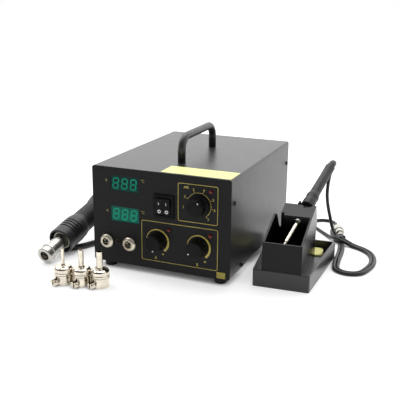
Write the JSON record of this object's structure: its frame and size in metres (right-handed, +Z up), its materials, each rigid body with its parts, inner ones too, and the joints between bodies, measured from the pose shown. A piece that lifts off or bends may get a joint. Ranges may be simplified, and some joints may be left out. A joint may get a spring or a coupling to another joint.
{
  "type": "hot air rework station",
  "caption": "Bench rework station with a black steel case, hot-air handpiece on a hose, clamp-on nozzles, and a soldering iron resting in a stand with a sponge tray.",
  "frame": {"origin": "on the bench, under the centre of the box round the whole kit without its free cords", "axes": "+Z up, +Y from the front panel to the back, +X to the right as seen from the front"},
  "size_m": [0.4676, 0.4118, 0.1717],
  "materials": {
    "case_black": "satin black paint",
    "zinc_sheet": "zinc-plated sheet",
    "foot_rubber": "soft black",
    "handle_black": "smooth black",
    "screw_black": "blackened steel",
    "display_window": "tinted green",
    "display_body": "dark",
    "knob_black": "fine-grained black",
    "shaft_steel": "turned steel",
    "switch_black": "black",
    "led_red": "dark red lens",
    "socket_chrome": "bright plate",
    "socket_black": "black insulator",
    "contact_brass": "bright",
    "label_paper": "blank film labels",
    "inlet_black": "black",
    "hose_rubber": "matt black",
    "air_tube_clear": "milky silicone",
    "pump_body": "grey",
    "core_steel": "laminated steel",
    "coil_copper": "enamelled copper",
    "board_green": "green laminate",
    "component_black": "moulded parts",
    "heat_sink_metal": "extruded",
    "gun_steel": "satin steel",
    "gun_plastic": "fine-grained dark grey",
    "ceramic_white": "ceramic",
    "nozzle_nickel": "bright nickel",
    "stand_metal": "black crackle paint",
    "cup_metal": "satin",
    "sponge_yellow": "open cellulose",
    "tip_copper": "plated copper",
    "iron_steel": "satin steel",
    "iron_plastic": "dark grey",
    "cord_rubber": "matt dark grey",
    "tie_plastic": "black",
    "plug_chrome": "bright plate"
  },
  "bodies": {
    "station": {"top_cover": "case_black", "front_panel": "case_black", "rear_panel": "case_black", "chassis_base": "zinc_sheet", "feet": "foot_rubber", "pump_mounts": "foot_rubber", "carry_handle": "handle_black", "case_screws": "screw_black", "display_windows": "display_window", "display_modules": "display_body", "potentiometers": "shaft_steel", "switch_housing": "switch_black", "indicator_leds": "led_red", "socket_shells": "socket_chrome", "socket_inserts": "socket_black", "socket_pins": "contact_brass", "standoffs": "contact_brass", "blank_labels": "label_paper", "power_inlet": "inlet_black", "fuse_holder": "inlet_black", "hose_gland": "inlet_black", "air_hose": "hose_rubber", "air_tube": "air_tube_clear", "air_pump": "pump_body", "transformer_core": "core_steel", "transformer_coil": "coil_copper", "circuit_boards": "board_green", "board_parts": "component_black", "heat_sink": "heat_sink_metal", "stand_base": "stand_metal", "stand_holder": "stand_metal", "iron_yoke": "stand_metal", "iron_cup": "cup_metal"},
    "airflow_control": {"airflow_knob": "knob_black", "airflow_shaft": "shaft_steel"},
    "left_heat_control": {"left_heat_knob": "knob_black", "left_heat_shaft": "shaft_steel"},
    "right_heat_control": {"right_heat_knob": "knob_black", "right_heat_shaft": "shaft_steel"},
    "left_switch": {"left_rocker": "switch_black"},
    "right_switch": {"right_rocker": "switch_black"},
    "handpiece": {"gun_barrel": "gun_steel", "muzzle_ring": "gun_steel", "heater_core": "ceramic_white", "gun_shroud": "gun_plastic", "gun_grip": "gun_plastic", "hose_boot": "hose_rubber"},
    "nozzle_small": {"small_nozzle": "nozzle_nickel"},
    "nozzle_medium": {"medium_nozzle": "nozzle_nickel"},
    "nozzle_large": {"large_nozzle": "nozzle_nickel"},
    "wiping_sponge": {"sponge": "sponge_yellow"},
    "iron": {"iron_tip": "tip_copper", "iron_barrel": "iron_steel", "iron_handle": "iron_plastic", "iron_boot": "cord_rubber", "iron_cord": "cord_rubber", "cord_tie": "tie_plastic", "cord_loop_right": "cord_rubber", "cord_loop_left": "cord_rubber", "cord_plug": "plug_chrome"}
  },
  "joints": [
    {"name": "airflow_turn", "type": "hinge", "parent": "station", "child": "airflow_control", "pos_m": [0.0431, -0.0873, 0.0994], "axis": [0, 1, 0], "range_deg": [-177, 103]},
    {"name": "left_heat_turn", "type": "hinge", "parent": "station", "child": "left_heat_control", "pos_m": [-0.0123, -0.0873, 0.0464], "axis": [0, 1, 0], "range_deg": [0, 280]},
    {"name": "right_heat_turn", "type": "hinge", "parent": "station", "child": "right_heat_control", "pos_m": [0.0431, -0.0873, 0.0464], "axis": [0, 1, 0], "range_deg": [-20, 260]},
    {"name": "left_switch_rock", "type": "hinge", "parent": "station", "child": "left_switch", "pos_m": [-0.00805, -0.0863, 0.0928], "axis": [-1, 0, 0], "range_deg": [0, 20]},
    {"name": "right_switch_rock", "type": "hinge", "parent": "station", "child": "right_switch", "pos_m": [0.00185, -0.0863, 0.0928], "axis": [-1, 0, 0], "range_deg": [0, 20]},
    {"name": "handpiece_lift", "type": "hinge", "parent": "station", "child": "handpiece", "pos_m": [-0.15093, 0.10193, 0.06571], "axis": [-0.9982, 0.0593, 0], "range_deg": [0, 30], "deforming": ["air_hose"]},
    {"name": "small_nozzle_lift", "type": "slide", "parent": "station", "child": "nozzle_small", "axis": [0, 0, 1], "range_m": [0, 0.06]},
    {"name": "medium_nozzle_lift", "type": "slide", "parent": "station", "child": "nozzle_medium", "axis": [0, 0, 1], "range_m": [0, 0.06]},
    {"name": "large_nozzle_lift", "type": "slide", "parent": "station", "child": "nozzle_large", "axis": [0, 0, 1], "range_m": [0, 0.06]},
    {"name": "sponge_lift", "type": "slide", "parent": "station", "child": "wiping_sponge", "axis": [0, 0, 1], "range_m": [0, 0.034]},
    {"name": "iron_draw", "type": "slide", "parent": "station", "child": "iron", "axis": [0.1151, 0.9112, 0.3955], "range_m": [0, 0.16]}
  ]
}
